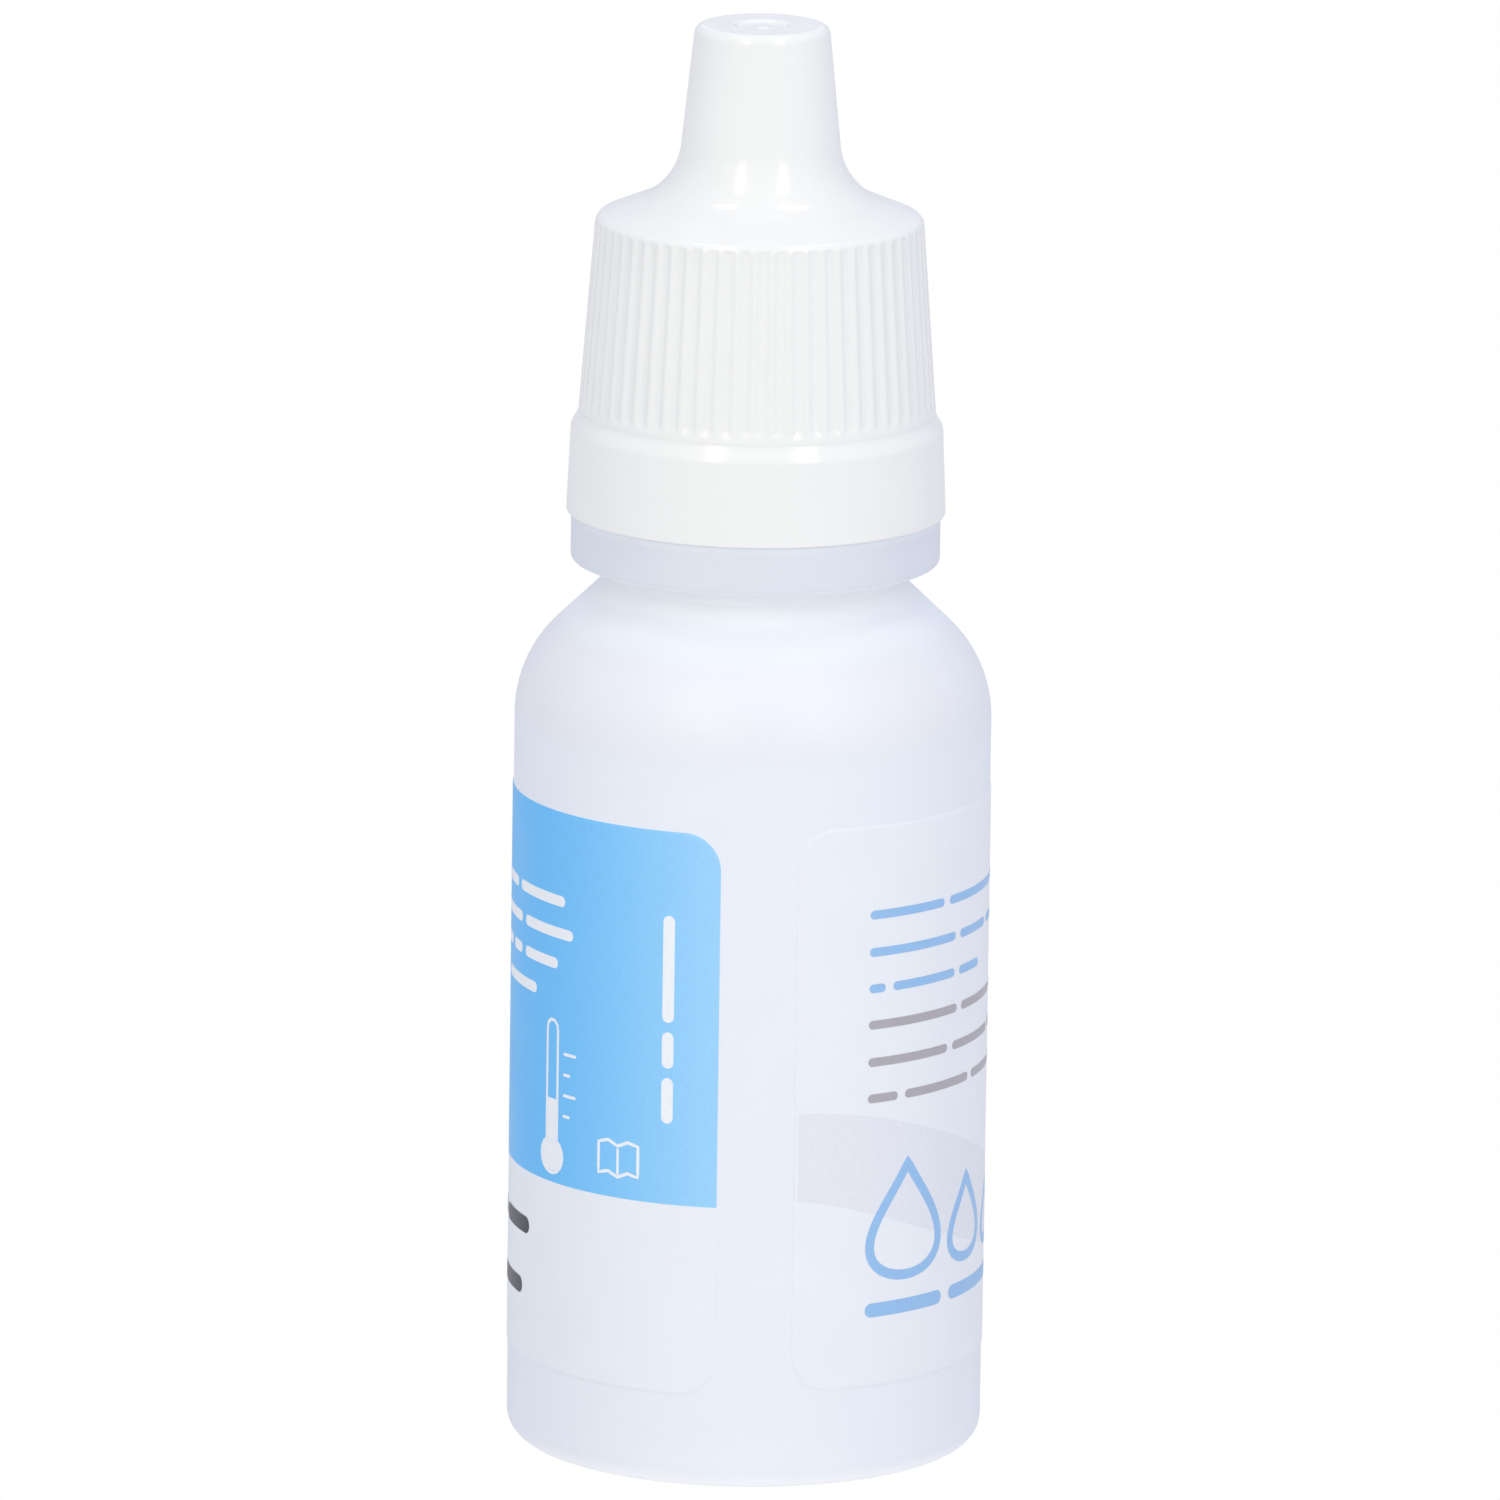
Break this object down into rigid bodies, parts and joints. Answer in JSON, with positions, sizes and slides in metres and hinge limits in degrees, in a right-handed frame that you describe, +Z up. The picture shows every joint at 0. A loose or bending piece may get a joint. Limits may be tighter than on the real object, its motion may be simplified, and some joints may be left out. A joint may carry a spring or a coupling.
{
  "type": "eye drop bottle",
  "caption": "Small squeeze bottle for eye drops with dropper insert, ribbed screw cap over the nozzle, tamper ring and wraparound label.",
  "frame": {"origin": "centre of the base, on the plane that the bottle stands on", "axes": "+Z up along the bottle's axis, -Y towards the gap between the label's ends"},
  "size_m": [0.0228, 0.0227, 0.0681],
  "materials": {
    "natural_polyethylene": "milky, slightly see-through, satin",
    "white_plastic": "opaque white, glossy",
    "printed_film": "clear and white printed film, satin"
  },
  "bodies": {
    "bottle": {"bottle": "natural_polyethylene", "dropper_insert": "natural_polyethylene", "label": "printed_film"},
    "tamper_ring": {"tamper_ring": "white_plastic", "ring_bridges": "white_plastic"},
    "screw_cap": {"screw_cap": "white_plastic"}
  },
  "joints": [
    {"name": "cap_turn", "type": "hinge", "parent": "bottle", "child": "tamper_ring", "pos_m": [0, 0, 0.0449], "axis": [0, 0, 1], "range_deg": [0, 2160]},
    {"name": "cap_rise", "type": "slide", "parent": "tamper_ring", "child": "screw_cap", "axis": [0, 0, 1], "range_m": [0, 0.018]}
  ],
  "couplings": [
    {"joint": "cap_rise", "follows": "cap_turn", "m_per_rad": 0.00047746}
  ]
}
